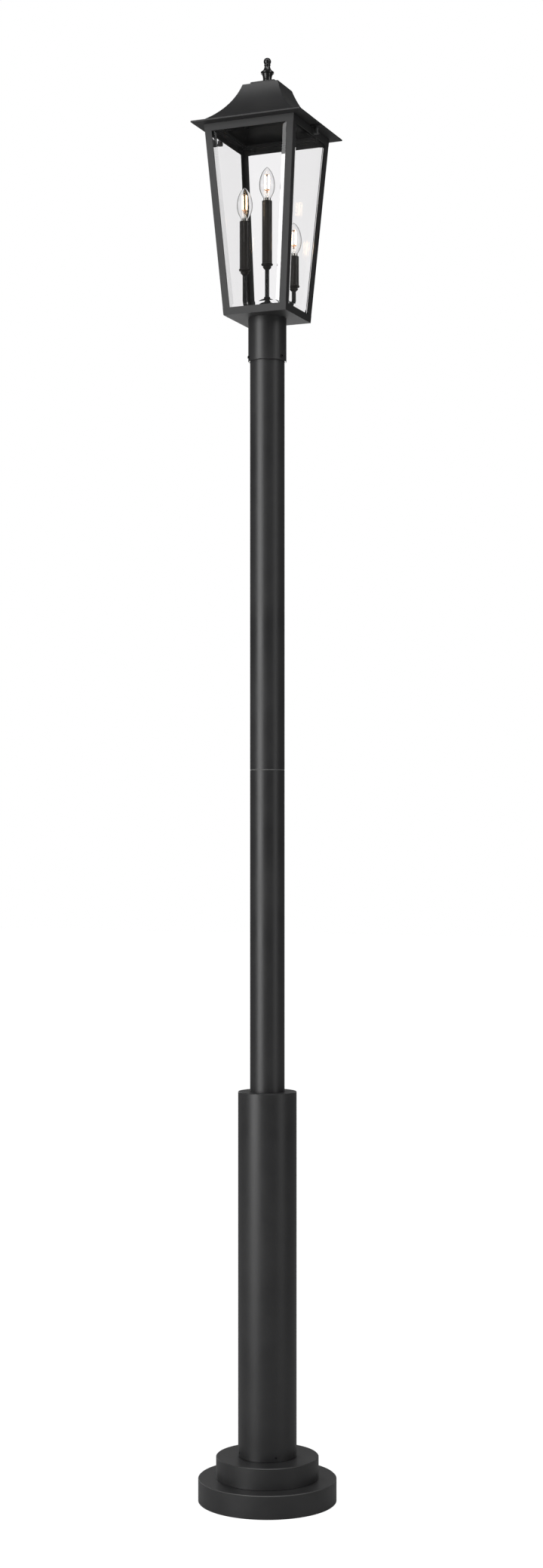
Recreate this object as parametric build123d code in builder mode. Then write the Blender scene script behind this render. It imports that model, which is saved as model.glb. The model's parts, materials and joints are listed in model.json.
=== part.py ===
import os
from math import atan, cos, pi, radians, sin, sqrt

from build123d import *

os.makedirs("parts", exist_ok=True)

# A garden lamp post: a round post in a two-step base carries one tapered square lantern that
# holds three candle lights. Millimetres, +Z up. The origin is the middle of the base's
# underside and the lantern's front faces -Y. Azimuths run from the front towards +X.

# Clearances
running_gap = 0.3
screw_clearance = 0.1
slip_fit = 0.2

# Anchor plate and the cast hub bolted on it
plate_diameter = 250.0
plate_thickness = 10.0
plate_edge = 1.0
anchor_circle = 203.2
anchor_hole = 14.3
anchor_count = 4
wire_hole = 50.0
hub_height = 130.0
hub_wall = 6.0
hub_ribs = 6
hub_flange_diameter = 178.0
hub_flange_thickness = 9.0
hub_bolt_circle = 150.0
hub_bolt_diameter = 8.0
hub_bolt_head = 13.0
hub_bolt_head_height = 5.3
hub_bolt_count = 4

# Two cover discs
cover_wall = 4.0
cover_edge = 1.6
cover_foot_edge = 0.8
base_disc_diameter = 304.8
base_disc_height = 51.2
step_disc_diameter = 226.0
step_disc_height = 47.7

# Lower sleeve and its top ring
sleeve_diameter = 129.0
sleeve_wall = 3.0
sleeve_length = 798.1
sleeve_edge = 0.8
sleeve_screw_count = 4
sleeve_screw_azimuth = 39.7
sleeve_screw_diameter = 5.0
sleeve_screw_rise = 10.0
sleeve_screw_sink = 0.3
sleeve_key = 2.5
ring_thickness = 4.0
ring_spigot_depth = 12.0
ring_gap = 0.8
ring_edge = 0.6

# Two lengths of post and the coupler inside their joint
post_diameter = 76.2
post_wall = 3.0
post_edge = 0.8
lower_post_length = 1599.0
upper_post_length = 991.6
coupler_length = 200.0
coupler_wall = 3.0

# Fitter cup that sits over the post
fitter_diameter = 84.2
fitter_depth = 93.4
fitter_top_thickness = 4.0
fitter_edge = 0.8
post_gap = 0.5
fitter_screw_count = 3
fitter_screw_azimuth = 69.5
fitter_screw_diameter = 6.0
fitter_screw_rise = 8.5
fitter_screw_reach = 2.6
fitter_key = 3.0
key_depth = 2.0

# Lantern cage, wider at its head than at its foot
cage_foot_side = 147.0
cage_head_side = 211.0
cage_height = 412.8
frame_width = 16.0
frame_wall = 2.5
frame_edge = 0.8
floor_thickness = 3.0
tab_width = 20.0
tab_hole = 6.4

# Bevelled panes and their spring clips
pane_gap = 0.3
pane_edge_thickness = 2.0
pane_thickness = 4.6
pane_land = 7.0
pane_bevel = 11.0
clip_width = 9.0
clip_upright = 9.0
clip_foot = 6.0
clip_sheet = 0.8
clip_spread = 0.78

# Lamp cluster
cluster_hub_diameter = 47.0
cluster_hub_rim = 28.5
cluster_hub_height = 38.0
cluster_hub_wall = 2.5
cluster_hub_crown = 8.0
cluster_hub_swell = 3.0
stem_diameter = 9.4
stem_wall = 1.1
stem_tail = 15.0
stem_nut_diameter = 16.0
stem_nut_crown = 12.5
stem_nut_height = 5.0
lock_nut_width = 16.0
lock_nut_height = 4.0
arm_rise = {"left": 11.0, "right": 22.0}
arm_bend = 21.0
arm_tail = 6.0

# Candles: azimuth, reach from the axis, height of the seat above the cage's foot, length
candles = {
    "centre": (0.0, 0.0, 122.0, 138.0),
    "left": (-45.0, 53.0, 105.0, 104.2),
    "right": (135.0, 61.0, 79.4, 64.2),
}
candle_diameter = 22.0
candle_wall = 1.2
cup_diameter = 26.0
cup_height = 12.8
cup_rim = 3.6
cup_rim_edge = 1.0
cup_rim_waist = 24.4
cup_neck_diameter = 15.6
cup_neck_height = 0.9
cup_shoulder = 1.2
cup_bead_diameter = 18.4
cup_bead_drop = 1.6
cup_cone_diameter = 16.2
cup_cone_height = 3.0
cup_foot_diameter = 11.0
socket_length = 36.0
socket_sink = 1.5
socket_depth = 17.0

# Bulbs
bulb_rise = 75.0
bulb_diameter = 34.6
bulb_waist = 40.0
bulb_shoulder_drop = 13.0
bulb_shoulder_diameter = 22.0
bulb_neck_diameter = 14.8
bulb_point_drop = 1.2
bulb_point_diameter = 3.6
bulb_wall = 0.8
collar_diameter = 16.4
collar_height = 7.0
collar_sink = 1.0
cap_diameter = 11.8
cap_length = 13.0
contact_diameter = 5.0
contact_length = 2.0
filament_count = 4
filament_diameter = 1.8
filament_circle = 11.6
filament_turn = 60.0
filament_start = 25.0
filament_length = 32.0
mount_height = 12.0
mount_diameter = 11.0
mount_tip = 3.0
lead_diameter = 0.9

# Roof, its studs and nuts, and the finial
eave_side = 255.5
eave_thickness = 3.3
eave_opening = 172.0
eave_edge = 0.5
roof_rise = 93.4
roof_top_side = 83.4
roof_foot_side = 227.0
roof_foot_lip = 1.7
roof_radius = 167.7
roof_wall = 1.6
cap_plate_side = 57.0
cap_plate_height = 7.8
cap_plate_edge = 1.0
stud_inset = 11.75
stud_diameter = 5.0
stud_length = 14.5
thumb_nut_diameter = 10.0
thumb_nut_length = 15.2
thumb_nut_rim = 13.4
thumb_nut_rim_height = 3.0
thumb_nut_floor = 1.5
thumb_nut_grooves = 12
thumb_nut_groove = 1.2
rod_diameter = 6.0
rod_reach = 22.0
rod_tail = 10.0
rod_nut_width = 10.0
rod_nut_height = 5.0
finial_height = 58.0
finial_ball = 16.6
finial_bead_diameter = 14.4
finial_bead_height = 4.4
finial_neck_diameter = 12.4
finial_skirt_diameter = 29.2
finial_skirt_height = 4.8
finial_skirt_step = 1.6
finial_skirt_radius = 16.0
finial_collar_diameter = 24.0
finial_waist_diameter = 19.4
finial_waist_height = 21.5
finial_foot_diameter = 23.0
finial_foot_lip = 2.5
finial_bore_depth = 24.0

# Levels, from the ground up
hub_foot = plate_thickness
step_foot = base_disc_height
sleeve_foot = step_foot + step_disc_height
ring_foot = sleeve_foot + sleeve_length
post_seam = plate_thickness + lower_post_length
post_top = post_seam + upper_post_length
fitter_ceiling = post_top + running_gap
fitter_foot = fitter_ceiling - fitter_depth
fitter_top = fitter_ceiling + fitter_top_thickness
cage_foot = fitter_top - frame_wall
floor_top = fitter_top + floor_thickness
cage_top = cage_foot + cage_height
eave_foot = cage_top + running_gap
eave_top = eave_foot + eave_thickness
roof_top = eave_top + roof_rise
cap_top = roof_top + cap_plate_height
finial_foot = cap_top + running_gap

# Radii and places that several pieces share
hub_radius = sleeve_diameter / 2 - sleeve_wall - slip_fit
post_radius = post_diameter / 2
post_bore = post_radius - post_wall
stem_radius = stem_diameter / 2
cage_spread = (cage_head_side - cage_foot_side) / 2 / cage_height
cage_lean = atan(cage_spread)
stud_place = eave_side / 2 - stud_inset
seated = (Align.CENTER, Align.CENTER, Align.MIN)


def cage_half(level):
    """Half of the cage's outside width at a level."""
    return cage_foot_side / 2 + (level - cage_foot) * cage_spread


def radial_plane(azimuth, radius, level):
    """Plane square to a screw that points at the post's axis, with its normal outward."""
    outward = (sin(radians(azimuth)), -cos(radians(azimuth)))
    return Plane(
        origin=(radius * outward[0], radius * outward[1], level),
        x_dir=(0, 0, 1),
        z_dir=(outward[0], outward[1], 0),
    )


def upright_plane(azimuth, aside=0.0):
    """Plane through the post's axis that runs outward at an azimuth, or beside it by some way."""
    outward = (sin(radians(azimuth)), -cos(radians(azimuth)))
    return Plane(
        origin=(aside * outward[1], -aside * outward[0], 0),
        x_dir=(outward[0], outward[1], 0),
        z_dir=(outward[1], -outward[0], 0),
    )


def face_plane(azimuth, level, inset):
    """Plane along one leaning side of the cage, set in from its outside, with its normal outward."""
    outward = (sin(radians(azimuth)), -cos(radians(azimuth)))
    reach = cage_half(level) - inset / cos(cage_lean)
    return Plane(
        origin=(reach * outward[0], reach * outward[1], level),
        x_dir=(-outward[1], outward[0], 0),
        z_dir=(outward[0] * cos(cage_lean), outward[1] * cos(cage_lean), -sin(cage_lean)),
    )


# Anchor plate: the steel disc that four ground bolts hold down, with a way in for the supply wire
with BuildPart() as anchor_plate:
    Cylinder(plate_diameter / 2, plate_thickness, align=seated)
    chamfer(anchor_plate.edges().group_by(Axis.Z)[-1], plate_edge)
    Hole(wire_hole / 2)
    with PolarLocations(anchor_circle / 2, anchor_count, start_angle=180 / anchor_count):
        Hole(anchor_hole / 2)
    with PolarLocations(hub_bolt_circle / 2, hub_bolt_count):
        Hole(hub_bolt_diameter / 2 + screw_clearance)
anchor_plate.part.label = "anchor_plate"
export_step(anchor_plate.part, "parts/anchor_plate.step")

# Base hub: a ribbed casting whose bore holds the post and whose barrel holds the sleeve
with BuildPart() as base_hub:
    with BuildSketch(Plane.XY.offset(hub_foot)):
        Circle(hub_flange_diameter / 2)
    extrude(amount=hub_flange_thickness)
    with BuildSketch(Plane.XY.offset(hub_foot)):
        Circle(hub_radius)
    extrude(amount=hub_height)
    with BuildSketch(Plane.XY.offset(hub_foot)):
        Circle(hub_radius - hub_wall)
        Circle(post_radius + slip_fit + hub_wall, mode=Mode.SUBTRACT)
        with PolarLocations((hub_radius + post_radius) / 2, hub_ribs):
            Rectangle(hub_radius - post_radius, hub_wall, mode=Mode.SUBTRACT)
    extrude(amount=hub_height - hub_wall, mode=Mode.SUBTRACT)
    with BuildSketch(Plane.XY.offset(hub_foot)):
        Circle(post_radius + slip_fit)
    extrude(amount=hub_height, mode=Mode.SUBTRACT)
    with BuildSketch(Plane.XY.offset(hub_foot)):
        with PolarLocations(hub_bolt_circle / 2, hub_bolt_count):
            Circle(hub_bolt_diameter / 2 + screw_clearance)
    extrude(amount=hub_flange_thickness, mode=Mode.SUBTRACT)
base_hub.part.label = "base_hub"
export_step(base_hub.part, "parts/base_hub.step")

# Hub bolts: hexagon heads on the flange, shanks down through the plate
with BuildPart() as hub_bolts:
    with BuildSketch(Plane.XY):
        with PolarLocations(hub_bolt_circle / 2, hub_bolt_count):
            Circle(hub_bolt_diameter / 2)
    extrude(amount=hub_foot + hub_flange_thickness)
    with BuildSketch(Plane.XY.offset(hub_foot + hub_flange_thickness)):
        with PolarLocations(hub_bolt_circle / 2, hub_bolt_count):
            RegularPolygon(hub_bolt_head / 2, 6, major_radius=False)
    extrude(amount=hub_bolt_head_height)
hub_bolts.part.label = "hub_bolts"
export_step(hub_bolts.part, "parts/hub_bolts.step")

# Cover discs: two spun shells, open below, that hide the plate, the hub's flange and the bolts
covers = {
    "base_disc": (base_disc_diameter, 0.0, base_disc_height),
    "step_disc": (step_disc_diameter, step_foot, step_disc_height),
}
for name, (diameter, foot, height) in covers.items():
    with BuildPart() as cover:
        with BuildSketch(Plane.XY.offset(foot)):
            Circle(diameter / 2)
        extrude(amount=height)
        chamfer(cover.edges().group_by(Axis.Z)[-1], cover_edge)
        chamfer(cover.edges().group_by(Axis.Z)[0], cover_foot_edge)
        with BuildSketch(Plane.XY.offset(foot)):
            Circle(diameter / 2 - cover_wall)
        extrude(amount=height - cover_wall, mode=Mode.SUBTRACT)
        with BuildSketch(Plane.XY.offset(foot)):
            Circle(hub_radius + slip_fit)
        extrude(amount=height, mode=Mode.SUBTRACT)
    cover.part.label = name
    export_step(cover.part, f"parts/{name}.step")

# Lower sleeve: the thick lower tube, pinned to the hub by set screws just above the base
sleeve_screw_level = sleeve_foot + sleeve_screw_rise
sleeve_screw_turns = [sleeve_screw_azimuth + 360 / sleeve_screw_count * n for n in range(sleeve_screw_count)]
with BuildPart() as lower_sleeve:
    with BuildSketch(Plane.XY.offset(sleeve_foot)):
        Circle(sleeve_diameter / 2)
    extrude(amount=sleeve_length)
    chamfer(lower_sleeve.edges().group_by(Axis.Z)[0], sleeve_edge)
    with BuildSketch(Plane.XY.offset(sleeve_foot)):
        Circle(sleeve_diameter / 2 - sleeve_wall)
    extrude(amount=sleeve_length, mode=Mode.SUBTRACT)
    for turn in sleeve_screw_turns:
        with BuildSketch(radial_plane(turn, hub_radius, sleeve_screw_level)):
            Circle(sleeve_screw_diameter / 2 + screw_clearance)
        extrude(amount=2 * sleeve_wall, mode=Mode.SUBTRACT)
lower_sleeve.part.label = "lower_sleeve"
export_step(lower_sleeve.part, "parts/lower_sleeve.step")

with BuildPart() as sleeve_set_screws:
    for turn in sleeve_screw_turns:
        with BuildSketch(radial_plane(turn, hub_radius, sleeve_screw_level)):
            Circle(sleeve_screw_diameter / 2)
        extrude(amount=sleeve_wall + slip_fit - sleeve_screw_sink)
        with BuildSketch(radial_plane(turn, sleeve_diameter / 2 - sleeve_screw_sink, sleeve_screw_level)):
            RegularPolygon(sleeve_key / 2, 6, major_radius=False)
        extrude(amount=-key_depth, mode=Mode.SUBTRACT)
sleeve_set_screws.part.label = "sleeve_set_screws"
export_step(sleeve_set_screws.part, "parts/sleeve_set_screws.step")

# Sleeve top ring: closes the sleeve round the post, with a spigot down inside the sleeve
with BuildPart() as sleeve_top_ring:
    with BuildSketch(Plane.XY.offset(ring_foot)):
        Circle(sleeve_diameter / 2)
    extrude(amount=ring_thickness)
    chamfer(sleeve_top_ring.edges().group_by(Axis.Z)[-1], ring_edge)
    with BuildSketch(Plane.XY.offset(ring_foot)):
        Circle(hub_radius)
    extrude(amount=-ring_spigot_depth)
    with BuildSketch(Plane.XY.offset(ring_foot)):
        Circle(hub_radius - cover_wall)
    extrude(amount=-ring_spigot_depth, mode=Mode.SUBTRACT)
    with BuildSketch(Plane.XY.offset(ring_foot)):
        Circle(post_radius + ring_gap)
    extrude(amount=ring_thickness, mode=Mode.SUBTRACT)
sleeve_top_ring.part.label = "sleeve_top_ring"
export_step(sleeve_top_ring.part, "parts/sleeve_top_ring.step")

# Two lengths of post tube that meet at the seam, and the coupler pushed into both
post_lengths = {
    "lower_post": (plate_thickness, lower_post_length),
    "upper_post": (post_seam, upper_post_length),
}
for name, (foot, length) in post_lengths.items():
    with BuildPart() as tube:
        with BuildSketch(Plane.XY.offset(foot)):
            Circle(post_radius)
        extrude(amount=length)
        chamfer(tube.edges(), post_edge)
        with BuildSketch(Plane.XY.offset(foot)):
            Circle(post_bore)
        extrude(amount=length, mode=Mode.SUBTRACT)
    tube.part.label = name
    export_step(tube.part, f"parts/{name}.step")

with BuildPart() as post_coupler:
    with BuildSketch(Plane.XY.offset(post_seam)):
        Circle(post_bore - slip_fit)
        Circle(post_bore - slip_fit - coupler_wall, mode=Mode.SUBTRACT)
    extrude(amount=coupler_length / 2, both=True)
post_coupler.part.label = "post_coupler"
export_step(post_coupler.part, "parts/post_coupler.step")

# Fitter cup: the closed cup under the lantern that slips over the post's top
fitter_radius = fitter_diameter / 2
fitter_screw_level = fitter_foot + fitter_screw_rise
fitter_screw_turns = [fitter_screw_azimuth + 360 / fitter_screw_count * n for n in range(fitter_screw_count)]
fitter_screw_tip = post_radius + running_gap
fitter_screw_end = fitter_radius + fitter_screw_reach
with BuildPart() as fitter_cup:
    with BuildSketch(Plane.XY.offset(fitter_foot)):
        Circle(fitter_radius)
    extrude(amount=fitter_top - fitter_foot)
    chamfer(fitter_cup.edges().group_by(Axis.Z)[0], fitter_edge)
    with BuildSketch(Plane.XY.offset(fitter_foot)):
        Circle(post_radius + post_gap)
    extrude(amount=fitter_depth, mode=Mode.SUBTRACT)
    with Locations((0, 0, fitter_top)):
        Hole(stem_radius + slip_fit)
    for turn in fitter_screw_turns:
        with BuildSketch(radial_plane(turn, fitter_screw_tip, fitter_screw_level)):
            Circle(fitter_screw_diameter / 2 + screw_clearance)
        extrude(amount=fitter_screw_end - fitter_screw_tip, mode=Mode.SUBTRACT)
fitter_cup.part.label = "fitter_cup"
export_step(fitter_cup.part, "parts/fitter_cup.step")

with BuildPart() as fitter_set_screws:
    for turn in fitter_screw_turns:
        with BuildSketch(radial_plane(turn, fitter_screw_tip, fitter_screw_level)):
            Circle(fitter_screw_diameter / 2)
        extrude(amount=fitter_screw_end - fitter_screw_tip)
        with BuildSketch(radial_plane(turn, fitter_screw_end, fitter_screw_level)):
            RegularPolygon(fitter_key / 2, 6, major_radius=False)
        extrude(amount=-key_depth, mode=Mode.SUBTRACT)
fitter_set_screws.part.label = "fitter_set_screws"
export_step(fitter_set_screws.part, "parts/fitter_set_screws.step")

# Cage foot frame: four rails round a flat plate that carries the floor and lets the fitter cup through
foot_rail_top = cage_foot + frame_width
head_rail_foot = cage_top - frame_width
with BuildPart() as cage_foot_frame:
    for level in (cage_foot, foot_rail_top):
        with BuildSketch(Plane.XY.offset(level)):
            Rectangle(2 * cage_half(level), 2 * cage_half(level))
    loft(ruled=True)
    for level in (fitter_top, foot_rail_top):
        with BuildSketch(Plane.XY.offset(level)):
            Rectangle(2 * (cage_half(level) - frame_wall), 2 * (cage_half(level) - frame_wall))
    loft(ruled=True, mode=Mode.SUBTRACT)
    with BuildSketch(Plane.XY.offset(cage_foot)):
        Circle(fitter_radius + slip_fit)
    extrude(amount=frame_wall, mode=Mode.SUBTRACT)
cage_foot_frame.part.label = "cage_foot_frame"
export_step(cage_foot_frame.part, "parts/cage_foot_frame.step")

# Floor pan: drops onto the shelf and onto the fitter cup
floor_half = cage_half(fitter_top) - frame_wall - slip_fit
with BuildPart() as floor_pan:
    with BuildSketch(Plane.XY.offset(fitter_top)):
        Rectangle(2 * floor_half, 2 * floor_half)
        Circle(stem_radius + slip_fit, mode=Mode.SUBTRACT)
    extrude(amount=floor_thickness)
floor_pan.part.label = "floor_pan"
export_step(floor_pan.part, "parts/floor_pan.step")

# Corner bars: four leaning angles between the two frames
corners = {"front_right": 270, "back_right": 0, "back_left": 90, "front_left": 180}
for corner, turn in corners.items():
    with BuildPart() as corner_bar:
        for level in (foot_rail_top, head_rail_foot):
            outer = cage_half(level)
            inner = outer - frame_wall
            with BuildSketch(Plane.XY.offset(level).rotated((0, 0, turn))) as angle:
                with Locations((outer, outer)):
                    Rectangle(frame_width, frame_width, align=(Align.MAX, Align.MAX))
                fillet(angle.vertices().group_by(Axis.Y)[-1].sort_by(Axis.X)[-1], frame_edge)
                with Locations((inner, inner)):
                    Rectangle(frame_width, frame_width, align=(Align.MAX, Align.MAX), mode=Mode.SUBTRACT)
        loft(ruled=True)
    corner_bar.part.label = f"corner_bar_{corner}"
    export_step(corner_bar.part, f"parts/corner_bar_{corner}.step")

# Cage head frame: four angle rails in one ring, with a tab on each side for the roof's studs
with BuildPart() as cage_head_frame:
    for level in (head_rail_foot, cage_top):
        with BuildSketch(Plane.XY.offset(level)):
            Rectangle(2 * cage_half(level), 2 * cage_half(level))
    loft(ruled=True)
    with BuildSketch(Plane.XY.offset(cage_top)):
        with PolarLocations(stud_place / 2, 2):
            Rectangle(stud_place, tab_width)
        with PolarLocations(stud_place, 2):
            Circle(tab_width / 2)
    extrude(amount=-frame_wall)
    for level in (head_rail_foot, cage_top - frame_wall):
        with BuildSketch(Plane.XY.offset(level)):
            Rectangle(2 * (cage_half(level) - frame_wall), 2 * (cage_half(level) - frame_wall))
    loft(ruled=True, mode=Mode.SUBTRACT)
    with BuildSketch(Plane.XY.offset(cage_top)):
        Rectangle(cage_head_side - 2 * frame_width, cage_head_side - 2 * frame_width)
        with PolarLocations(stud_place, 2):
            Circle(tab_hole / 2)
    extrude(amount=-frame_wall, mode=Mode.SUBTRACT)
cage_head_frame.part.label = "cage_head_frame"
export_step(cage_head_frame.part, "parts/cage_head_frame.step")

# Panes: four bevelled glass trapezoids that lie against the inside of the bars
pane_foot = floor_top + pane_gap
pane_length = (cage_top - frame_wall - pane_gap - pane_foot) / cos(cage_lean)
pane_inset = frame_wall + slip_fit + pane_thickness
pane_foot_half = cage_half(pane_foot) - pane_inset - pane_gap
pane_head_half = pane_foot_half + pane_length * sin(cage_lean)
bevel_rise = pane_thickness - pane_edge_thickness
bevel_angle = 90 - atan(bevel_rise / pane_bevel) * 180 / pi
sides = {"front": 0, "right": 90, "back": 180, "left": 270}
for side, azimuth in sides.items():
    with BuildPart() as pane:
        with BuildSketch(face_plane(azimuth, pane_foot, pane_inset)):
            with BuildLine():
                Polyline(
                    (-pane_foot_half, 0),
                    (pane_foot_half, 0),
                    (pane_head_half, pane_length),
                    (-pane_head_half, pane_length),
                    close=True,
                )
            make_face()
        extrude(amount=pane_edge_thickness)
        with BuildSketch(face_plane(azimuth, pane_foot, pane_inset - pane_edge_thickness)):
            with BuildLine():
                Polyline(
                    (-pane_foot_half, 0),
                    (pane_foot_half, 0),
                    (pane_head_half, pane_length),
                    (-pane_head_half, pane_length),
                    close=True,
                )
            make_face()
            offset(amount=-pane_land, kind=Kind.INTERSECTION, mode=Mode.REPLACE)
        extrude(amount=bevel_rise, taper=bevel_angle)
    pane.part.label = f"pane_{side}"
    export_step(pane.part, f"parts/pane_{side}.step")

# Glass clips: spring angles, two at the foot and two at the head of each pane
clip_inset = (pane_inset + slip_fit) / cos(cage_lean) + clip_sheet
clip_seats = (
    (floor_top, pane_foot_half * clip_spread, 1),
    (cage_top - frame_wall, pane_head_half * clip_spread, -1),
)
with BuildPart() as glass_clips:
    for azimuth in sides.values():
        for level, place, rise in clip_seats:
            back = cage_half(level) - clip_inset
            tip = back + rise * clip_upright * cage_spread
            for aside in (-place, place):
                with BuildSketch(upright_plane(azimuth, aside)):
                    with BuildLine():
                        Polyline(
                            (back - clip_foot, level),
                            (back + clip_sheet, level),
                            (tip + clip_sheet, level + rise * clip_upright),
                            (tip, level + rise * clip_upright),
                            (back, level + rise * clip_sheet),
                            (back - clip_foot, level + rise * clip_sheet),
                            close=True,
                        )
                    make_face()
                extrude(amount=clip_width / 2, both=True)
glass_clips.part.label = "glass_clips"
export_step(glass_clips.part, "parts/glass_clips.step")

# Cluster hub: the hollow dome on the floor that the arms grow from
hub_top = floor_top + cluster_hub_height
arm_levels = {name: floor_top + rise for name, rise in arm_rise.items()}
arms = {name: candle for name, candle in candles.items() if candle[1] > 0}
with BuildPart() as cluster_hub:
    for wall, mode in ((0, Mode.ADD), (cluster_hub_wall, Mode.SUBTRACT)):
        side = cluster_hub_diameter / 2 - wall
        crown_level = hub_top - wall
        rim_level = floor_top + cluster_hub_rim
        with BuildSketch(Plane.XZ):
            with BuildLine():
                Polyline((0, crown_level), (0, floor_top), (side, floor_top), (side, rim_level))
                ThreePointArc(
                    (side, rim_level),
                    (
                        (side + cluster_hub_crown + cluster_hub_swell) / 2,
                        (rim_level + crown_level + cluster_hub_swell) / 2,
                    ),
                    (cluster_hub_crown, crown_level),
                )
                Line((cluster_hub_crown, crown_level), (0, crown_level))
            make_face()
        revolve(axis=Axis.Z, mode=mode)
    with Locations((0, 0, hub_top)):
        Hole(stem_radius + slip_fit)
    for name, (azimuth, reach, seat, length) in arms.items():
        with BuildSketch(radial_plane(azimuth, 0, arm_levels[name])):
            Circle(stem_radius + slip_fit)
        extrude(amount=cluster_hub_diameter, mode=Mode.SUBTRACT)
cluster_hub.part.label = "cluster_hub"
export_step(cluster_hub.part, "parts/cluster_hub.step")

# Centre stem: the long tube that clamps the hub, the floor and the fitter cup together
candle_seats = {name: cage_foot + seat for name, (azimuth, reach, seat, length) in candles.items()}
candle_tops = {name: candle_seats[name] + candles[name][3] for name in candles}
socket_feet = {name: candle_tops[name] - socket_sink - socket_length for name in candles}
with BuildPart() as centre_stem:
    with BuildSketch(Plane.XY.offset(fitter_ceiling - stem_tail)):
        Circle(stem_radius)
        Circle(stem_radius - stem_wall, mode=Mode.SUBTRACT)
    extrude(amount=socket_feet["centre"] - fitter_ceiling + stem_tail)
centre_stem.part.label = "centre_stem"
export_step(centre_stem.part, "parts/centre_stem.step")

with BuildPart() as stem_nut:
    with Locations((0, 0, hub_top + stem_nut_height / 2)):
        Cone(stem_nut_diameter / 2, stem_nut_crown / 2, stem_nut_height)
    with Locations((0, 0, hub_top + stem_nut_height)):
        Hole(stem_radius + screw_clearance)
stem_nut.part.label = "stem_nut"
export_step(stem_nut.part, "parts/stem_nut.step")

with BuildPart() as lock_nut:
    with BuildSketch(Plane.XY.offset(fitter_ceiling)):
        RegularPolygon(lock_nut_width / 2, 6, major_radius=False)
        Circle(stem_radius + screw_clearance, mode=Mode.SUBTRACT)
    extrude(amount=-lock_nut_height)
lock_nut.part.label = "lock_nut"
export_step(lock_nut.part, "parts/lock_nut.step")

# Side arms: tubes that leave the hub level, bend up and end under their sockets
for name, (azimuth, reach, seat, length) in arms.items():
    with BuildPart() as arm:
        with BuildLine(upright_plane(azimuth)) as path:
            FilletPolyline(
                (cluster_hub_diameter / 2 - arm_tail, arm_levels[name]),
                (reach, arm_levels[name]),
                (reach, socket_feet[name]),
                radius=arm_bend,
            )
        with BuildSketch(radial_plane(azimuth, cluster_hub_diameter / 2 - arm_tail, arm_levels[name])):
            Circle(stem_radius)
            Circle(stem_radius - stem_wall, mode=Mode.SUBTRACT)
        sweep()
    arm.part.label = f"{name}_arm"
    export_step(arm.part, f"parts/{name}_arm.step")


def bulb_outline(wall, foot, tip):
    """Edges of half a pointed candle bulb's outline, drawn in by some depth of wall."""
    neck = (bulb_neck_diameter / 2 - wall, foot)
    widest = (bulb_diameter / 2 - wall, tip - bulb_waist)
    shoulder = (bulb_shoulder_diameter / 2 - wall, tip - bulb_shoulder_drop)
    point = (bulb_point_diameter / 2, tip - wall - bulb_point_drop)
    with BuildLine() as outline:
        Polyline((0, tip - wall), (0, foot), neck)
        TangentArc(widest, neck, tangent=(0, -1))
        side = TangentArc(widest, shoulder, tangent=(0, 1))
        TangentArc(shoulder, point, tangent=side % 1)
        Line(point, (0, tip - wall))
    return outline.edges()


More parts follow.
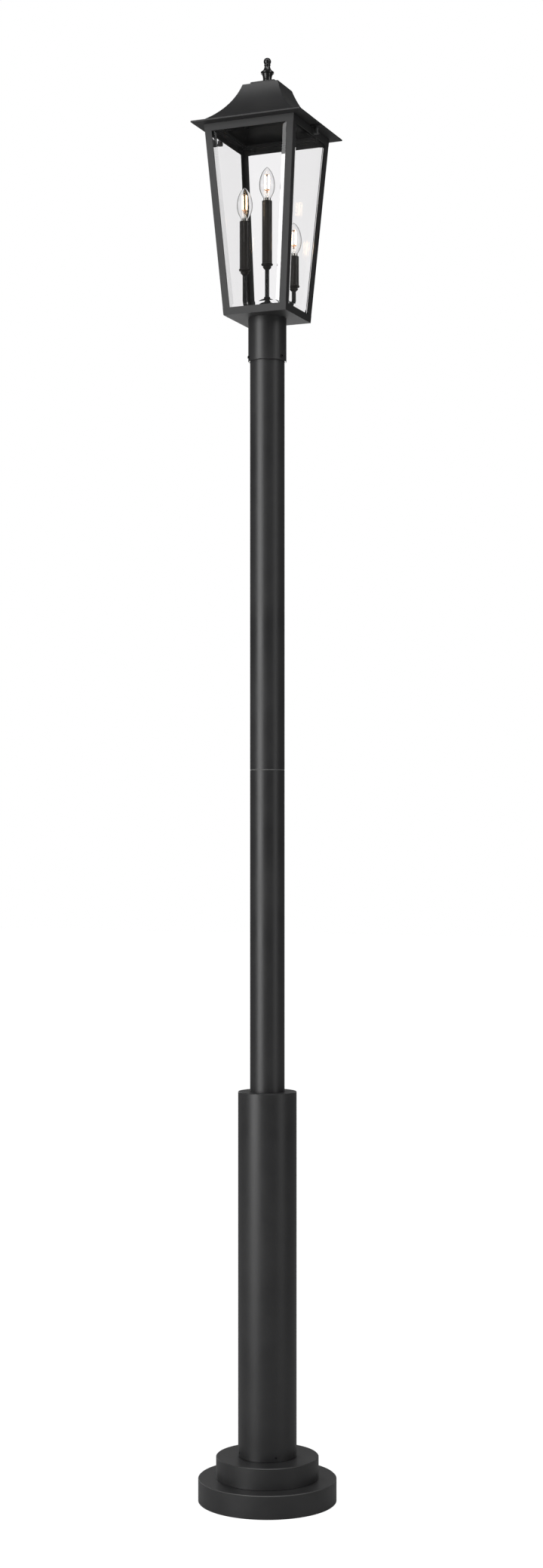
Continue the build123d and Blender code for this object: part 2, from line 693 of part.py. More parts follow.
# Candle lights: cup, candle tube, socket, and a bulb of glass, cap and filament frame
for name, (azimuth, reach, seat, length) in candles.items():
    place = (reach * sin(radians(azimuth)), -reach * cos(radians(azimuth)), 0)
    seat_level = candle_seats[name]
    top = candle_tops[name]
    socket_top = top - socket_sink
    collar_foot = top - collar_sink
    collar_top = collar_foot + collar_height
    tip = top + bulb_rise
    axis = Axis(place, (0, 0, 1))
    upright = Plane(origin=place, x_dir=(1, 0, 0), z_dir=(0, -1, 0))
    cup_foot_level = seat_level - cup_height
    cup_rim_level = seat_level - cup_rim
    cup_shoulder_level = cup_rim_level - cup_shoulder
    cup_neck = (cup_neck_diameter / 2, cup_shoulder_level - cup_neck_height)
    cup_cone = (cup_cone_diameter / 2, cup_foot_level + cup_cone_height)

    with BuildPart() as candle_cup:
        with BuildSketch(upright):
            with BuildLine():
                Polyline(
                    cup_neck,
                    (cup_neck_diameter / 2, cup_shoulder_level),
                    (cup_rim_waist / 2, cup_rim_level),
                    (cup_diameter / 2, seat_level - cup_rim_edge),
                    (candle_diameter / 2, seat_level),
                    (stem_radius + screw_clearance, seat_level),
                    (stem_radius + screw_clearance, cup_foot_level),
                    (cup_foot_diameter / 2, cup_foot_level),
                    cup_cone,
                )
                ThreePointArc(cup_cone, (cup_bead_diameter / 2, cup_neck[1] - cup_bead_drop), cup_neck)
            make_face()
        revolve(axis=axis)
    candle_cup.part.label = f"cup_{name}"
    export_step(candle_cup.part, f"parts/cup_{name}.step")

    with BuildPart() as candle:
        with BuildSketch(Plane.XY.offset(seat_level).move(Location(place))):
            Circle(candle_diameter / 2)
            Circle(candle_diameter / 2 - candle_wall, mode=Mode.SUBTRACT)
        extrude(amount=length)
    candle.part.label = f"candle_{name}"
    export_step(candle.part, f"parts/candle_{name}.step")

    with BuildPart() as socket:
        with BuildSketch(Plane.XY.offset(socket_feet[name]).move(Location(place))):
            Circle(candle_diameter / 2 - candle_wall - slip_fit)
        extrude(amount=socket_length)
        with BuildSketch(Plane.XY.offset(socket_top).move(Location(place))):
            Circle(cap_diameter / 2 + running_gap)
        extrude(amount=-socket_depth, mode=Mode.SUBTRACT)
    socket.part.label = f"socket_{name}"
    export_step(socket.part, f"parts/socket_{name}.step")

    with BuildPart() as cap:
        with BuildSketch(Plane.XY.offset(collar_foot).move(Location(place))):
            Circle(collar_diameter / 2)
        extrude(amount=collar_height)
        with BuildSketch(Plane.XY.offset(collar_foot).move(Location(place))):
            Circle(cap_diameter / 2)
        extrude(amount=-cap_length)
        with BuildSketch(Plane.XY.offset(collar_foot - cap_length).move(Location(place))):
            Circle(contact_diameter / 2)
        extrude(amount=-contact_length)
    cap.part.label = f"bulb_cap_{name}"
    export_step(cap.part, f"parts/bulb_cap_{name}.step")

    with BuildPart() as glass:
        with BuildSketch(upright):
            make_face(bulb_outline(0, collar_top, tip))
            make_face(bulb_outline(bulb_wall, collar_top, tip), mode=Mode.SUBTRACT)
        revolve(axis=axis)
    glass.part.label = f"bulb_glass_{name}"
    export_step(glass.part, f"parts/bulb_glass_{name}.step")

    filament_foot = top + filament_start
    with BuildPart() as filaments:
        with Locations((place[0], place[1], collar_top + mount_height / 2)):
            Cone(mount_diameter / 2, mount_tip / 2, mount_height)
        with BuildSketch(Plane.XY.offset(collar_top + mount_height).move(Location(place))):
            Circle(mount_tip / 2)
        extrude(amount=filament_foot - collar_top - mount_height)
        for level in (filament_foot, filament_foot + filament_length):
            with BuildSketch(Plane.XY.offset(level).move(Location(place))):
                Circle(filament_circle / 2)
                Circle(filament_circle / 2 - lead_diameter, mode=Mode.SUBTRACT)
                Rectangle(filament_circle, lead_diameter)
            extrude(amount=lead_diameter / 2, both=True)
        with BuildSketch(Plane.XY.offset(filament_foot).move(Location(place))):
            with PolarLocations(filament_circle / 2, filament_count, start_angle=filament_turn):
                Circle(filament_diameter / 2)
        extrude(amount=filament_length)
    filaments.part.label = f"bulb_filaments_{name}"
    export_step(filaments.part, f"parts/bulb_filaments_{name}.step")

# Eave plate: the flat square brim, open in the middle under the roof
with BuildPart() as eave_plate:
    with BuildSketch(Plane.XY.offset(eave_foot)):
        Rectangle(eave_side, eave_side)
    extrude(amount=eave_thickness)
    chamfer(eave_plate.edges().group_by(Axis.Z)[-1], eave_edge)
    with BuildSketch(Plane.XY.offset(eave_foot)):
        Rectangle(eave_opening, eave_opening)
    extrude(amount=eave_thickness, mode=Mode.SUBTRACT)
eave_plate.part.label = "eave_plate"
export_step(eave_plate.part, "parts/eave_plate.step")

# Roof shell: four hollow-curved slopes that meet at mitred hips, one sheet thick. The curve is
# an arc through the foot and the top edge, and the inside follows it about the same centre.
chord_run = (roof_foot_side - roof_top_side) / 2
chord_rise = roof_rise - roof_foot_lip
chord = sqrt(chord_run**2 + chord_rise**2)
sagitta_leg = sqrt(roof_radius**2 - chord**2 / 4)
arc_place = (roof_foot_side + roof_top_side) / 4 + sagitta_leg * chord_rise / chord
arc_level = eave_top + roof_foot_lip + chord_rise / 2 + sagitta_leg * chord_run / chord


def roof_half(level, depth):
    """Half of the roof's width at a level, for the surface that lies some depth under the outside."""
    return arc_place - sqrt((roof_radius + depth) ** 2 - (arc_level - level) ** 2)


def roof_outline(depth, top, lip_top, lip_half):
    """Edges of the roof's bell outline: flat top, two hollow arcs and an upright lip at the foot."""
    middle = (lip_top + top) / 2
    with BuildLine() as outline:
        for hand in (-1, 1):
            ThreePointArc(
                (hand * lip_half, lip_top),
                (hand * roof_half(middle, depth), middle),
                (hand * roof_half(top, depth), top),
            )
            Line((hand * lip_half, lip_top), (hand * lip_half, eave_top))
        Line((-roof_half(top, depth), top), (roof_half(top, depth), top))
        Line((-lip_half, eave_top), (lip_half, eave_top))
    return outline.edges()


inside_lip_top = eave_top + roof_foot_lip
inside_lip_half = roof_half(inside_lip_top, roof_wall)
with BuildPart() as roof_inside:
    with BuildSketch(Plane.XZ):
        make_face(roof_outline(roof_wall, roof_top - roof_wall, inside_lip_top, inside_lip_half))
    extrude(amount=roof_foot_side, both=True)
    with BuildSketch(Plane.YZ):
        make_face(roof_outline(roof_wall, roof_top - roof_wall, inside_lip_top, inside_lip_half))
    extrude(amount=roof_foot_side, both=True, mode=Mode.INTERSECT)

with BuildPart() as roof_shell:
    with BuildSketch(Plane.XZ):
        make_face(roof_outline(0, roof_top, eave_top + roof_foot_lip, roof_foot_side / 2))
    extrude(amount=roof_foot_side, both=True)
    with BuildSketch(Plane.YZ):
        make_face(roof_outline(0, roof_top, eave_top + roof_foot_lip, roof_foot_side / 2))
    extrude(amount=roof_foot_side, both=True, mode=Mode.INTERSECT)
    add(roof_inside.part, mode=Mode.SUBTRACT)
    with Locations((0, 0, roof_top)):
        Hole(rod_diameter / 2 + slip_fit)
roof_shell.part.label = "roof_shell"
export_step(roof_shell.part, "parts/roof_shell.step")

# Cap plate: the raised square block under the finial
with BuildPart() as cap_plate:
    with BuildSketch(Plane.XY.offset(roof_top)):
        Rectangle(cap_plate_side, cap_plate_side)
    extrude(amount=cap_plate_height)
    chamfer(cap_plate.edges().group_by(Axis.Z)[-1], cap_plate_edge)
    with Locations((0, 0, cap_top)):
        Hole(rod_diameter / 2 + slip_fit)
cap_plate.part.label = "cap_plate"
export_step(cap_plate.part, "parts/cap_plate.step")

# Roof studs: welded under the brim, they pass down through the cage's two tabs
with BuildPart() as roof_studs:
    with BuildSketch(Plane.XY.offset(eave_foot)):
        with PolarLocations(stud_place, 2):
            Circle(stud_diameter / 2)
    extrude(amount=-stud_length)
roof_studs.part.label = "roof_studs"
export_step(roof_studs.part, "parts/roof_studs.step")

# Thumb nuts: blind, with a grooved rim at the bottom, run up against the tabs
nut_top = cage_top - frame_wall - running_gap
nut_foot = nut_top - thumb_nut_length
for name, azimuth in (("thumb_nut_left", 270), ("thumb_nut_right", 90)):
    nut_place = (stud_place * sin(radians(azimuth)), 0, 0)
    with BuildPart() as thumb_nut:
        with BuildSketch(Plane.XY.offset(nut_foot).move(Location(nut_place))):
            Circle(thumb_nut_diameter / 2)
        extrude(amount=thumb_nut_length)
        with BuildSketch(Plane.XY.offset(nut_foot).move(Location(nut_place))):
            Circle(thumb_nut_rim / 2)
            with PolarLocations(thumb_nut_rim / 2, thumb_nut_grooves):
                Circle(thumb_nut_groove / 2, mode=Mode.SUBTRACT)
        extrude(amount=thumb_nut_rim_height)
        with BuildSketch(Plane.XY.offset(nut_foot + thumb_nut_floor).move(Location(nut_place))):
            Circle(stud_diameter / 2 + running_gap)
        extrude(amount=thumb_nut_length - thumb_nut_floor, mode=Mode.SUBTRACT)
    thumb_nut.part.label = name
    export_step(thumb_nut.part, f"parts/{name}.step")

# Finial rod and its nut: the rod stands up through roof and cap plate into the finial
with BuildPart() as finial_rod:
    with BuildSketch(Plane.XY.offset(roof_top - roof_wall - rod_tail)):
        Circle(rod_diameter / 2)
    extrude(amount=cap_top + rod_reach - roof_top + roof_wall + rod_tail)
finial_rod.part.label = "finial_rod"
export_step(finial_rod.part, "parts/finial_rod.step")

with BuildPart() as finial_rod_nut:
    with BuildSketch(Plane.XY.offset(roof_top - roof_wall)):
        RegularPolygon(rod_nut_width / 2, 6, major_radius=False)
        Circle(rod_diameter / 2 + screw_clearance, mode=Mode.SUBTRACT)
    extrude(amount=-rod_nut_height)
finial_rod_nut.part.label = "finial_rod_nut"
export_step(finial_rod_nut.part, "parts/finial_rod_nut.step")

# Finial: a turned ball on a bead, a flared skirt and a waisted foot, screwed down on the rod
finial_top = finial_foot + finial_height
ball_radius = finial_ball / 2
ball_middle = finial_top - ball_radius
ball_foot = ball_middle - sqrt(ball_radius**2 - finial_neck_diameter**2 / 4)
bead_foot = ball_foot - finial_bead_height
skirt_top = finial_foot + finial_waist_height + finial_skirt_height
with BuildPart() as finial:
    with BuildSketch(Plane.XZ):
        with BuildLine():
            Polyline(
                (0, finial_top),
                (0, finial_foot),
                (finial_foot_diameter / 2, finial_foot),
                (finial_foot_diameter / 2, finial_foot + finial_foot_lip),
            )
            ThreePointArc(
                (finial_foot_diameter / 2, finial_foot + finial_foot_lip),
                (finial_waist_diameter / 2, finial_foot + (finial_foot_lip + finial_waist_height) / 2),
                (finial_collar_diameter / 2, finial_foot + finial_waist_height),
            )
            Polyline(
                (finial_collar_diameter / 2, finial_foot + finial_waist_height),
                (finial_skirt_diameter / 2, finial_foot + finial_waist_height + finial_skirt_step),
                (finial_skirt_diameter / 2, skirt_top),
            )
            RadiusArc(
                (finial_skirt_diameter / 2, skirt_top),
                (finial_neck_diameter / 2, bead_foot),
                finial_skirt_radius,
            )
            ThreePointArc(
                (finial_neck_diameter / 2, bead_foot),
                (finial_bead_diameter / 2, (bead_foot + ball_foot) / 2),
                (finial_neck_diameter / 2, ball_foot),
            )
            ThreePointArc(
                (finial_neck_diameter / 2, ball_foot),
                (ball_radius, ball_middle),
                (0, finial_top),
            )
        make_face()
    revolve(axis=Axis.Z)
    with BuildSketch(Plane.XY.offset(finial_foot)):
        Circle(rod_diameter / 2 + running_gap)
    extrude(amount=finial_bore_depth, mode=Mode.SUBTRACT)
finial.part.label = "finial"
export_step(finial.part, "parts/finial.step")
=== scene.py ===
import json
import math

import bpy
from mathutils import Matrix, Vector


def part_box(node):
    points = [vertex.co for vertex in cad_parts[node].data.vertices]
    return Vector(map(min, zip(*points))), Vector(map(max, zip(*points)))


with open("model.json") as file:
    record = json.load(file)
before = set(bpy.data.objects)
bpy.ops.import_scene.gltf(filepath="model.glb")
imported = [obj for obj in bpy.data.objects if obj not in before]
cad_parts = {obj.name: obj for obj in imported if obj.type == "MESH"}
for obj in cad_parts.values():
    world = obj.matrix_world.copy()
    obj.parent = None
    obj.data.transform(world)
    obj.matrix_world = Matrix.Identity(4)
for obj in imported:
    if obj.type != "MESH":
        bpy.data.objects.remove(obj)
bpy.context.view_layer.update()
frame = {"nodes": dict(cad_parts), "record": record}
print("frame loaded:", len(frame["nodes"]), "nodes")
parts = frame["nodes"]


class Wire:  # one value in a material: sums and products of wires add their Math nodes
    def __init__(self, paint, socket):
        self.paint = paint
        self.socket = socket

    def maths(self, operation, *values):
        sockets = dict(enumerate(values))
        return self.paint.node("ShaderNodeMath", {"operation": operation}, sockets)

    def __add__(self, other):
        return self.maths("ADD", self, other)

    def __radd__(self, other):
        return self.maths("ADD", other, self)

    def __sub__(self, other):
        return self.maths("SUBTRACT", self, other)

    def __rsub__(self, other):
        return self.maths("SUBTRACT", other, self)

    def __mul__(self, other):
        return self.maths("MULTIPLY", self, other)

    def __rmul__(self, other):
        return self.maths("MULTIPLY", other, self)

    def __gt__(self, other):
        return self.maths("GREATER_THAN", self, other)

    def __lt__(self, other):
        return self.maths("LESS_THAN", self, other)

    def absolute(self):
        return self.maths("ABSOLUTE", self)

    def power(self, exponent):
        return self.maths("POWER", self, exponent)


class Paint:  # a node tree that is filled one node at a time
    def __init__(self, name, tree=None):
        if tree is None:
            self.material = bpy.data.materials.new(name)
            self.material.use_nodes = True
            tree = self.material.node_tree
        self.tree = tree
        self.tree.nodes.clear()

    def node(self, kind, settings=None, sockets=None, output=0):
        made = self.tree.nodes.new(kind)
        for key, value in (settings or {}).items():
            setattr(made, key, value)
        for key, value in (sockets or {}).items():
            self.feed(made.inputs[key], value)
        return Wire(self, made.outputs[output]) if len(made.outputs) else None

    def feed(self, socket, value):
        if isinstance(value, Wire):
            self.tree.links.new(value.socket, socket)
        else:
            socket.default_value = value

    def coords(self):
        return self.node("ShaderNodeTexCoord", output="Object")

    def axes(self, vector):  # its X, Y and Z
        split = self.node("ShaderNodeSeparateXYZ", {}, {"Vector": vector}).socket.node
        return [Wire(self, split.outputs[axis]) for axis in "XYZ"]

    def noise(self, scale, detail=2.0, stretch=(1, 1, 1)):
        placed = self.node("ShaderNodeMapping", {}, {"Vector": self.coords(), "Scale": stretch})
        sockets = {"Vector": placed, "Scale": scale, "Detail": detail}
        return self.node("ShaderNodeTexNoise", {}, sockets)

    def ramp(self, value, low, high, atLow=0.0, atHigh=1.0):
        ends = {"From Min": low, "From Max": high, "To Min": atLow, "To Max": atHigh}
        return self.node("ShaderNodeMapRange", {"clamp": True}, {"Value": value, **ends})

    def blend(self, amount, first, second):
        sockets = {0: amount, 6: first, 7: second}
        return self.node("ShaderNodeMix", {"data_type": "RGBA"}, sockets, output=2)

    def bump(self, height, strength, distance, normal=None):
        sockets = {"Height": height, "Strength": strength, "Distance": distance}
        if normal is not None:
            sockets["Normal"] = normal
        return self.node("ShaderNodeBump", {}, sockets)

    def principled(self, sockets):
        return self.node("ShaderNodeBsdfPrincipled", {}, sockets)

    def finish(self, surface):
        self.node("ShaderNodeOutputMaterial", {}, {"Surface": surface})
        return self.material


def rgb(red, green, blue):
    return (red, green, blue, 1.0)


def outFrom(across, along):  # how far out from an upright axis
    return (across * across + along * along).power(0.5)


def dress(material, *names):
    for name in names:
        slots = parts[name].data.materials
        slots.clear()
        slots.append(material)


def nodesOf(slot):
    subparts = frame["record"]["subparts"]
    return [entry["node"] for entry in subparts if entry["material_slot"] == slot]


candleNames = ("centre", "left", "right")

# soft clouds mix a finish's dark and light colour; clouds, grain, ripple, scratch and dust say how
# fine each noise is, and depths are in metres
powderCoat = {
    "dark": rgb(0.010, 0.010, 0.0105),
    "light": rgb(0.018, 0.018, 0.0185),
    "ior": 1.5,
    "roughLow": 0.36,
    "roughHigh": 0.47,
    "clouds": 9.0,
    "grain": 1500.0,
    "grainDepth": 0.00003,
    "grainStrength": 0.6,
    "grainShare": 0.4,  # of the change in roughness, which the clouds share
    "ripple": 160.0,
    "rippleDepth": 0.00004,
    "rippleStrength": 0.5,
}
lanternCoat = {
    **powderCoat,
    "dark": rgb(0.008, 0.008, 0.0083),
    "light": rgb(0.014, 0.014, 0.0144),
    "ior": 1.38,
    "roughLow": 0.50,
    "roughHigh": 0.60,
    "grain": 1400.0,
    "ripple": 140.0,
}
barCoat = {**lanternCoat, "ior": 1.46}
roofCoat = {**lanternCoat, "ior": 1.42, "roughLow": 0.38, "roughHigh": 0.46}
railCoat = {**lanternCoat, "ior": 1.45}
candleCoat = {
    **powderCoat,
    "dark": rgb(0.010, 0.0085, 0.0075),
    "light": rgb(0.016, 0.0135, 0.012),
    "roughLow": 0.30,
    "roughHigh": 0.36,
    "grainDepth": 0.000006,
    "ripple": 90.0,
    "rippleDepth": 0.00001,
}
finialCoat = {
    **powderCoat,
    "dark": rgb(0.004, 0.004, 0.0043),
    "light": rgb(0.007, 0.007, 0.0073),
    "roughLow": 0.22,
    "roughHigh": 0.28,
    "grainDepth": 0.000008,
    "ripple": 120.0,
    "rippleDepth": 0.00001,
}
# painted highlights: light lines laid into the coat's colour along the seam where the post tubes
# meet and along the top rims of the two cover discs, standing in for glints off their chamfered
# edges
paintedEdgeHighlights = {
    "seam": 1.609,  # where the two post tubes meet
    "seamHalf": 0.0007,
    "seamHighlight": rgb(0.16, 0.16, 0.157),
    "rim": 0.0013,  # how wide the painted highlight along the top rims of the two cover discs is
    "rimHighlights": {
        "base_disc": rgb(0.065, 0.065, 0.064),
        "step_disc": rgb(0.035, 0.035, 0.0345),
    },
}
noiseMiddle = (0.3, 0.7)  # from here to here the noise turns one value into the other


def paintedHighlightBand(paint, low, high, inside):
    # 1 from one height up to another, further out from the post's axis than a radius; a painted
    # highlight line goes there
    across, along, height = paint.axes(paint.coords())
    return (height > low) * (height < high) * (outFrom(across, along) > inside)


def makePowderCoat(name, settings, highlightPlace=None, highlightColour=None):
    paint = Paint(name)
    cloud = paint.noise(settings["clouds"], detail=3.0)
    ripple = paint.noise(settings["ripple"])
    grain = paint.noise(settings["grain"], detail=1.0)
    colour = paint.blend(paint.ramp(cloud, *noiseMiddle), settings["dark"], settings["light"])
    # a painted highlight line laid over the coat's colour in that band
    if highlightPlace is not None:
        colour = paint.blend(paintedHighlightBand(paint, *highlightPlace), colour, highlightColour)
    change = cloud * (1 - settings["grainShare"]) + grain * settings["grainShare"]
    rough = paint.ramp(change, *noiseMiddle, settings["roughLow"], settings["roughHigh"])
    soft = paint.bump(ripple, settings["rippleStrength"], settings["rippleDepth"])
    normal = paint.bump(grain, settings["grainStrength"], settings["grainDepth"], soft)
    sockets = {"Base Color": colour, "Roughness": rough, "Normal": normal, "IOR": settings["ior"]}
    return paint.finish(paint.principled(sockets))


dress(makePowderCoat("blackPowderCoat", powderCoat), *nodesOf("black_powder_coat"))
# the top rim of each cover disc gets a painted highlight line, lighter on the base disc than on
# the step disc
for name, highlightColour in paintedEdgeHighlights["rimHighlights"].items():
    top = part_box(name)[1]
    rim = (top.z - paintedEdgeHighlights["rim"], top.z + 1, top.x - paintedEdgeHighlights["rim"])  # open above
    dress(makePowderCoat(f"{name}_coat", powderCoat, rim, highlightColour), name)
# the seam between the post tubes gets a painted highlight line
seam = (paintedEdgeHighlights["seam"] - paintedEdgeHighlights["seamHalf"], paintedEdgeHighlights["seam"] + paintedEdgeHighlights["seamHalf"], 0)
postCoat = makePowderCoat("postCoat", powderCoat, seam, paintedEdgeHighlights["seamHighlight"])
dress(postCoat, "lower_post", "upper_post")
dress(makePowderCoat("lanternBlack", lanternCoat), "floor_pan", "roof_studs")
barNames = [name for name in parts if name.startswith("corner_bar_")]
dress(makePowderCoat("barBlack", barCoat), *barNames)
dress(makePowderCoat("roofBlack", roofCoat), "roof_shell", "eave_plate", "cap_plate")
dress(makePowderCoat("railBlack", railCoat), "cage_foot_frame", "cage_head_frame")
candleParts = [f"{part}_{name}" for name in candleNames for part in ("candle", "cup")]
dress(makePowderCoat("candleSatin", candleCoat), *candleParts)
turnedParts = ("finial", "centre_stem", "stem_nut", "cluster_hub", "left_arm", "right_arm")
dress(makePowderCoat("turnedSatin", finialCoat), *turnedParts)

platedSteel = {
    "dark": rgb(0.42, 0.42, 0.40),
    "light": rgb(0.58, 0.58, 0.55),
    "roughLow": 0.28,
    "roughHigh": 0.42,
    "clouds": 40.0,
    "scratch": 700.0,
    "scratchDepth": 0.00003,
    "scratchStrength": 0.5,
    "scratchShare": 0.5,  # of the change in roughness, which the clouds share
}
blackOxide = {
    **platedSteel,
    "dark": rgb(0.03, 0.03, 0.032),
    "light": rgb(0.06, 0.06, 0.062),
    "roughLow": 0.3,
    "roughHigh": 0.45,
}
clipSteel = {
    **platedSteel,
    "dark": rgb(0.08, 0.08, 0.08),
    "light": rgb(0.14, 0.14, 0.135),
    "roughLow": 0.25,
    "roughHigh": 0.4,
}
castAluminium = {
    **platedSteel,
    "dark": rgb(0.45, 0.45, 0.45),
    "light": rgb(0.62, 0.62, 0.61),
    "roughLow": 0.5,
    "roughHigh": 0.65,
    "scratch": 300.0,
    "scratchDepth": 0.0001,
}
nickelPlate = {
    **platedSteel,
    "dark": rgb(0.68, 0.66, 0.62),
    "light": rgb(0.78, 0.76, 0.72),
    "roughLow": 0.12,
    "roughHigh": 0.20,
}


def makeMetal(name, settings):
    paint = Paint(name)
    cloud = paint.noise(settings["clouds"], detail=3.0)
    scratch = paint.noise(settings["scratch"])
    colour = paint.blend(paint.ramp(cloud, *noiseMiddle), settings["dark"], settings["light"])
    change = cloud * (1 - settings["scratchShare"]) + scratch * settings["scratchShare"]
    rough = paint.ramp(change, *noiseMiddle, settings["roughLow"], settings["roughHigh"])
    normal = paint.bump(scratch, settings["scratchStrength"], settings["scratchDepth"])
    sockets = {"Base Color": colour, "Roughness": rough, "Normal": normal, "Metallic": 1.0}
    return paint.finish(paint.principled(sockets))


dress(makeMetal("platedSteel", platedSteel), *nodesOf("plated_steel"))
dress(makeMetal("blackOxide", blackOxide), "sleeve_set_screws", "fitter_set_screws")
dress(makeMetal("clipSteel", clipSteel), "glass_clips")
dress(makeMetal("castAluminium", castAluminium), "base_hub")
dress(makeMetal("nickelPlate", nickelPlate), *[f"bulb_cap_{name}" for name in candleNames])

paneGlass = {
    "tint": rgb(0.995, 0.991, 0.995),
    "ior": 1.42,
    "shadow": rgb(0.94, 0.95, 0.945),
    "dust": 22.0,
    "dustStretch": (1, 1, 0.3),
    "dustFrom": 0.55,
    "dustTo": 0.8,
    "dustRough": 0.006,
}
sideGlass = {
    **paneGlass,
    "ior": 1.2,
    "edgeTint": rgb(0.22, 0.42, 0.38),  # of the ground edge beside the front bars
    "edgeWidth": 0.005,
    "lean": 4.43,  # degrees by which a pane's side edges lean out
}
bulbGlass = {**paneGlass, "tint": rgb(0.99, 0.988, 0.99), "ior": 1.34}


def sideEdge(paint, settings, top):  # 1 in the outer few millimetres of a side pane's front edge
    along, height = paint.axes(paint.coords())[1:]
    halfWidth = top.y - (top.z - height) * math.tan(math.radians(settings["lean"]))
    return (along + halfWidth) < settings["edgeWidth"]


def makeClearGlass(name, settings, edgeTop=None):
    # a faint smear of dust keeps the polish from looking like nothing at all
    paint = Paint(name)
    tint = settings["tint"]
    if edgeTop is not None:
        tint = paint.blend(sideEdge(paint, settings, edgeTop), tint, settings["edgeTint"])
    dust = paint.noise(settings["dust"], detail=3.0, stretch=settings["dustStretch"])
    smear = paint.ramp(dust, settings["dustFrom"], settings["dustTo"], 0.0, settings["dustRough"])
    sockets = {"Base Color": tint, "Roughness": smear, "IOR": settings["ior"]}
    glass = paint.principled({**sockets, "Transmission Weight": 1.0})
    shadow = paint.node("ShaderNodeLightPath", output="Is Shadow Ray")
    clear = paint.node("ShaderNodeBsdfTransparent", {}, {"Color": settings["shadow"]})
    return paint.finish(paint.node("ShaderNodeMixShader", {}, {0: shadow, 1: glass, 2: clear}))


dress(makeClearGlass("paneGlass", paneGlass), "pane_front", "pane_back")
dress(makeClearGlass("sideGlass", sideGlass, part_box("pane_right")[1]), "pane_left", "pane_right")
dress(makeClearGlass("bulbGlass", bulbGlass), *[f"bulb_glass_{name}" for name in candleNames])

socketPlastic = {
    "dark": rgb(0.02, 0.02, 0.02),
    "light": rgb(0.035, 0.034, 0.033),
    "rough": 0.5,
    "clouds": 60.0,
    "grain": 900.0,
    "grainDepth": 0.00003,
    "grainStrength": 0.4,
}


def makeSocketPlastic(name, settings):
    paint = Paint(name)
    colour = paint.blend(paint.noise(settings["clouds"]), settings["dark"], settings["light"])
    grain = paint.noise(settings["grain"])
    normal = paint.bump(grain, settings["grainStrength"], settings["grainDepth"])
    sockets = {"Base Color": colour, "Roughness": settings["rough"], "Normal": normal}
    return paint.finish(paint.principled(sockets))


plastic = makeSocketPlastic("socketPlastic", socketPlastic)
dress(plastic, *[f"socket_{name}" for name in candleNames])

filament = {
    "glow": rgb(1.0, 0.70, 0.42),
    "strength": 9.0,
    "wire": rgb(0.72, 0.47, 0.34),
    "wireDark": rgb(0.50, 0.30, 0.20),
    "wireGrain": 2500.0,
    "wireRough": 0.3,
    "phosphor": rgb(0.95, 0.85, 0.62),
    "phosphorRough": 0.6,
    "stripInside": 0.0046,  # the strips stand further out than this
    "stripLength": 0.0308,
    "stripBelow": 0.001,  # they end this far under the top of the wires
    "mountTop": 0.0118,
    "mountColour": rgb(0.86, 0.86, 0.85),
    "mountSeen": 0.25,
}


def makeFilament(name, low, high, settings):
    # the four strips glow, the wires that hold them are copper and the flare under them is glass
    paint = Paint(name)
    axis = (low + high) / 2
    stripTop = high.z - settings["stripBelow"]
    eastward, northward, height = paint.axes(paint.coords())
    radius = outFrom(eastward - axis.x, northward - axis.y)
    strip = (radius > settings["stripInside"]) * (height > stripTop - settings["stripLength"])
    strip = strip * (height < stripTop)
    mount = height < low.z + settings["mountTop"]
    grain = paint.noise(settings["wireGrain"], detail=1.0)
    copper = paint.blend(grain, settings["wire"], settings["wireDark"])
    held = paint.blend(strip, copper, settings["phosphor"])
    roughMore = settings["phosphorRough"] - settings["wireRough"]
    sockets = {
        "Base Color": paint.blend(mount, held, settings["mountColour"]),
        "Roughness": settings["wireRough"] + roughMore * strip,
        "Metallic": (1 - strip) * (1 - mount),
        "Alpha": 1 - mount * (1 - settings["mountSeen"]),
        "Emission Color": paint.blend(strip, rgb(0, 0, 0), settings["glow"]),
        "Emission Strength": settings["strength"],
    }
    return paint.finish(paint.principled(sockets))


for name in candleNames:
    low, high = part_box(f"bulb_filaments_{name}")
    dress(makeFilament(f"filament_{name}", low, high, filament), f"bulb_filaments_{name}")
print("finishes done")

photo = {
    "width": 720,  # this and the next four are in pixels of the photograph
    "height": 2080,
    "focal": 3100.0,
    "horizon": 1119.0,
    "axis": 354.5,
    "distance": 5.15,  # metres, as the two below
    "cameraHeight": 1.447,
    "farthest": 100.0,
    "azimuth": 22.7,  # degrees from the front pane towards the right one
    "sensor": 36.0,  # millimetres
}
turn = math.radians(photo["azimuth"])


def around(angle, distance, height):  # a place seen at this angle from the front
    return Vector((distance * math.sin(angle), -distance * math.cos(angle), height))


bpy.ops.object.camera_add(
    location=around(turn, photo["distance"], photo["cameraHeight"]),
    rotation=(math.radians(90), 0, turn),
)
camera = bpy.context.object
camera.data.sensor_width = photo["sensor"]
camera.data.lens = photo["focal"] / photo["height"] * photo["sensor"]
camera.data.shift_x = (photo["width"] / 2 - photo["axis"]) / photo["height"]
camera.data.shift_y = (photo["horizon"] - photo["height"] / 2) / photo["height"]
camera.data.clip_end = photo["farthest"]
bpy.context.scene.camera = camera


def lampReach(name, belongs):  # the pieces that a lamp lights
    reach = bpy.data.collections.new(name)
    for partName, part in parts.items():
        if belongs(partName):
            reach.objects.link(part)
    return reach


tubeNames = ("lower_post", "upper_post", "lower_sleeve", "fitter_cup")
shaded = lampReach("allButPanes", lambda name: not name.startswith("pane_"))
frontPane = lampReach("frontPane", lambda name: name == "pane_front")
# the panes belong to it, because a reflection in a collar leaves the lantern through one of them
collars = lampReach("collars", lambda name: name.startswith(("bulb_cap_", "pane_")))
underside = lampReach("underside", lambda name: name == "cage_foot_frame")
tubes = lampReach("tubes", lambda name: name in tubeNames)
allButTubes = lampReach("allButTubes", lambda name: not name.startswith(("pane_", *tubeNames)))

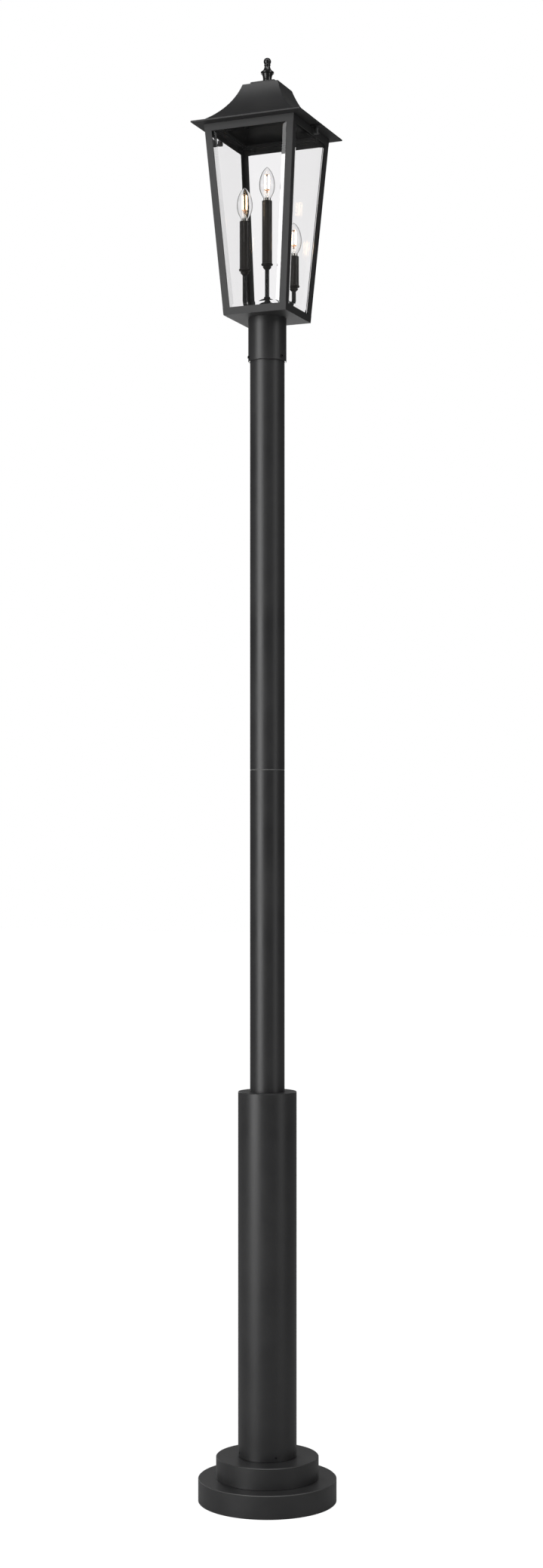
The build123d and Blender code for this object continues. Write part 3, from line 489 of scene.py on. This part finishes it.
# degrees round from the camera, distance and height of the lamp, its width and height, its watts,
# the height on the post that it faces, and the pieces that it lights
lamps = {
    "keyLow": (-51, 4.0, 0.75, (2.2, 1.5), 52, 0.75, shaded),
    "keyMid": (-51, 4.0, 2.25, (2.2, 1.5), 62, 2.25, shaded),
    "keyUpper": (-51, 4.0, 3.75, (2.2, 1.5), 50, 3.75, shaded),
    "keyHigh": (-48, 3.0, 6.4, (1.6, 1.6), 60, 2.8, shaded),
    "edgeStrip": (-16.6, 4.0, 3.28, (0.4, 1.0), 7.0, 3.0, frontPane),
    "collarLeft": (-82, 3.0, 3.7, (2.6, 1.0), 10, 2.85, collars),
    "collarRight": (68, 3.0, 3.7, (2.0, 1.0), 8, 2.85, collars),
    "underWall": (180, 4.0, 1.5, (2.4, 1.2), 17, 2.6, underside),
    "fillLow": (56, 4.0, 1.42, (1.3, 2.8), 18, 1.42, shaded),
    "fillHigh": (58, 4.0, 5.0, (1.6, 3.0), 50, 3.5, shaded),
    "backKey": (-158, 4.0, 2.0, (1.0, 2.2), 22, 2.0, allButTubes),
    "backFill": (158, 4.0, 2.0, (0.8, 2.2), 8, 2.0, allButTubes),
    "backTubes": (180, 4.0, 1.5, (0.5, 2.6), 28, 1.5, tubes),  # draws no line along their edges
    "topLamp": (20, 1.5, 6.5, (2.5, 2.5), 62, 2.0, shaded),
}
for name, (azimuth, distance, height, size, energy, aimHeight, lights) in lamps.items():
    place = around(math.radians(photo["azimuth"] + azimuth), distance, height)
    facing = (Vector((0, 0, aimHeight)) - place).to_track_quat("-Z", "Y").to_euler()
    bpy.ops.object.light_add(type="AREA", location=place, rotation=facing)
    lamp = bpy.context.object
    lamp.name = name
    lamp.data.shape = "RECTANGLE"
    lamp.data.size, lamp.data.size_y = size
    lamp.data.energy = energy
    lamp.light_linking.receiver_collection = lights
    lamp.visible_camera = False

# the camera and the glass see a white room, and gloss sees a dim one with a pale patch behind the
# object: how wide it is, where it starts and ends and how it fades are sines of the view's angle
studio = {
    "seen": 1.0,
    "mirrored": 0.06,
    "lit": 0.25,
    "patch": 0.34,
    "patchWide": 0.5,
    "wideFade": 0.2,
    "patchLow": 0.10,
    "lowFade": 0.15,
    "patchTop": 0.50,
    "topFade": 0.2,
}


def seenDirectly(paint):
    # 1 where nothing but glass lies between the camera and here; and 1 after a glossy bounce
    # (depths are whole numbers, so a half tells none from one)
    glossyDepth = paint.node("ShaderNodeLightPath", output="Glossy Depth")
    diffuseDepth = Wire(paint, glossyDepth.socket.node.outputs["Diffuse Depth"])
    return (glossyDepth < 0.5) * (diffuseDepth < 0.5), (glossyDepth > 0.5) * (diffuseDepth < 0.5)


world = bpy.data.worlds.new("studio")
world.use_nodes = True
bpy.context.scene.world = world
sky = Paint("studio", world.node_tree)
direct, glossy = seenDirectly(sky)
eastward, northward, upward = sky.axes(sky.node("ShaderNodeTexCoord", output="Generated"))
away = northward * math.cos(turn) - eastward * math.sin(turn)
sideways = (eastward * math.cos(turn) + northward * math.sin(turn)).absolute()
wide, low, high = studio["patchWide"], studio["patchLow"], studio["patchTop"]
behind = sky.ramp(sideways, wide - studio["wideFade"], wide, 1.0, 0.0) * (away > 0)
rise = sky.ramp(upward, low, low + studio["lowFade"])
band = rise * sky.ramp(upward, high - studio["topFade"], high, 1.0, 0.0)
mirrored = glossy * (studio["mirrored"] + studio["patch"] * (behind * band))
dim = mirrored + (1 - glossy) * studio["lit"]
strength = direct * studio["seen"] + (1 - direct) * dim
backdrop = sky.node("ShaderNodeBackground", {}, {"Color": rgb(1, 1, 1), "Strength": strength})
sky.node("ShaderNodeOutputWorld", {}, {"Surface": backdrop})

paleFloor = {
    "size": 60,
    "matt": rgb(0.40, 0.40, 0.40),
    "bright": rgb(1, 1, 1),
    "strength": 1.17,
    "brightShare": 0.85,  # the rest takes the object's shadow
}
bpy.ops.mesh.primitive_plane_add(size=paleFloor["size"], location=(0, 0, 0))
floor = bpy.context.object
floor.name = "floor"
pale = Paint("paleFloor")
matt = pale.node("ShaderNodeBsdfDiffuse", {}, {"Color": paleFloor["matt"]})
brightSockets = {"Color": paleFloor["bright"], "Strength": paleFloor["strength"]}
bright = pale.node("ShaderNodeEmission", {}, brightSockets)
share = seenDirectly(pale)[0] * paleFloor["brightShare"]
lit = pale.node("ShaderNodeMixShader", {}, {0: share, 1: matt, 2: bright})
floor.data.materials.append(pale.finish(lit))
shaded.objects.link(floor)
bpy.context.scene.view_settings.view_transform = "Standard"
print("camera, lamps and floor done")
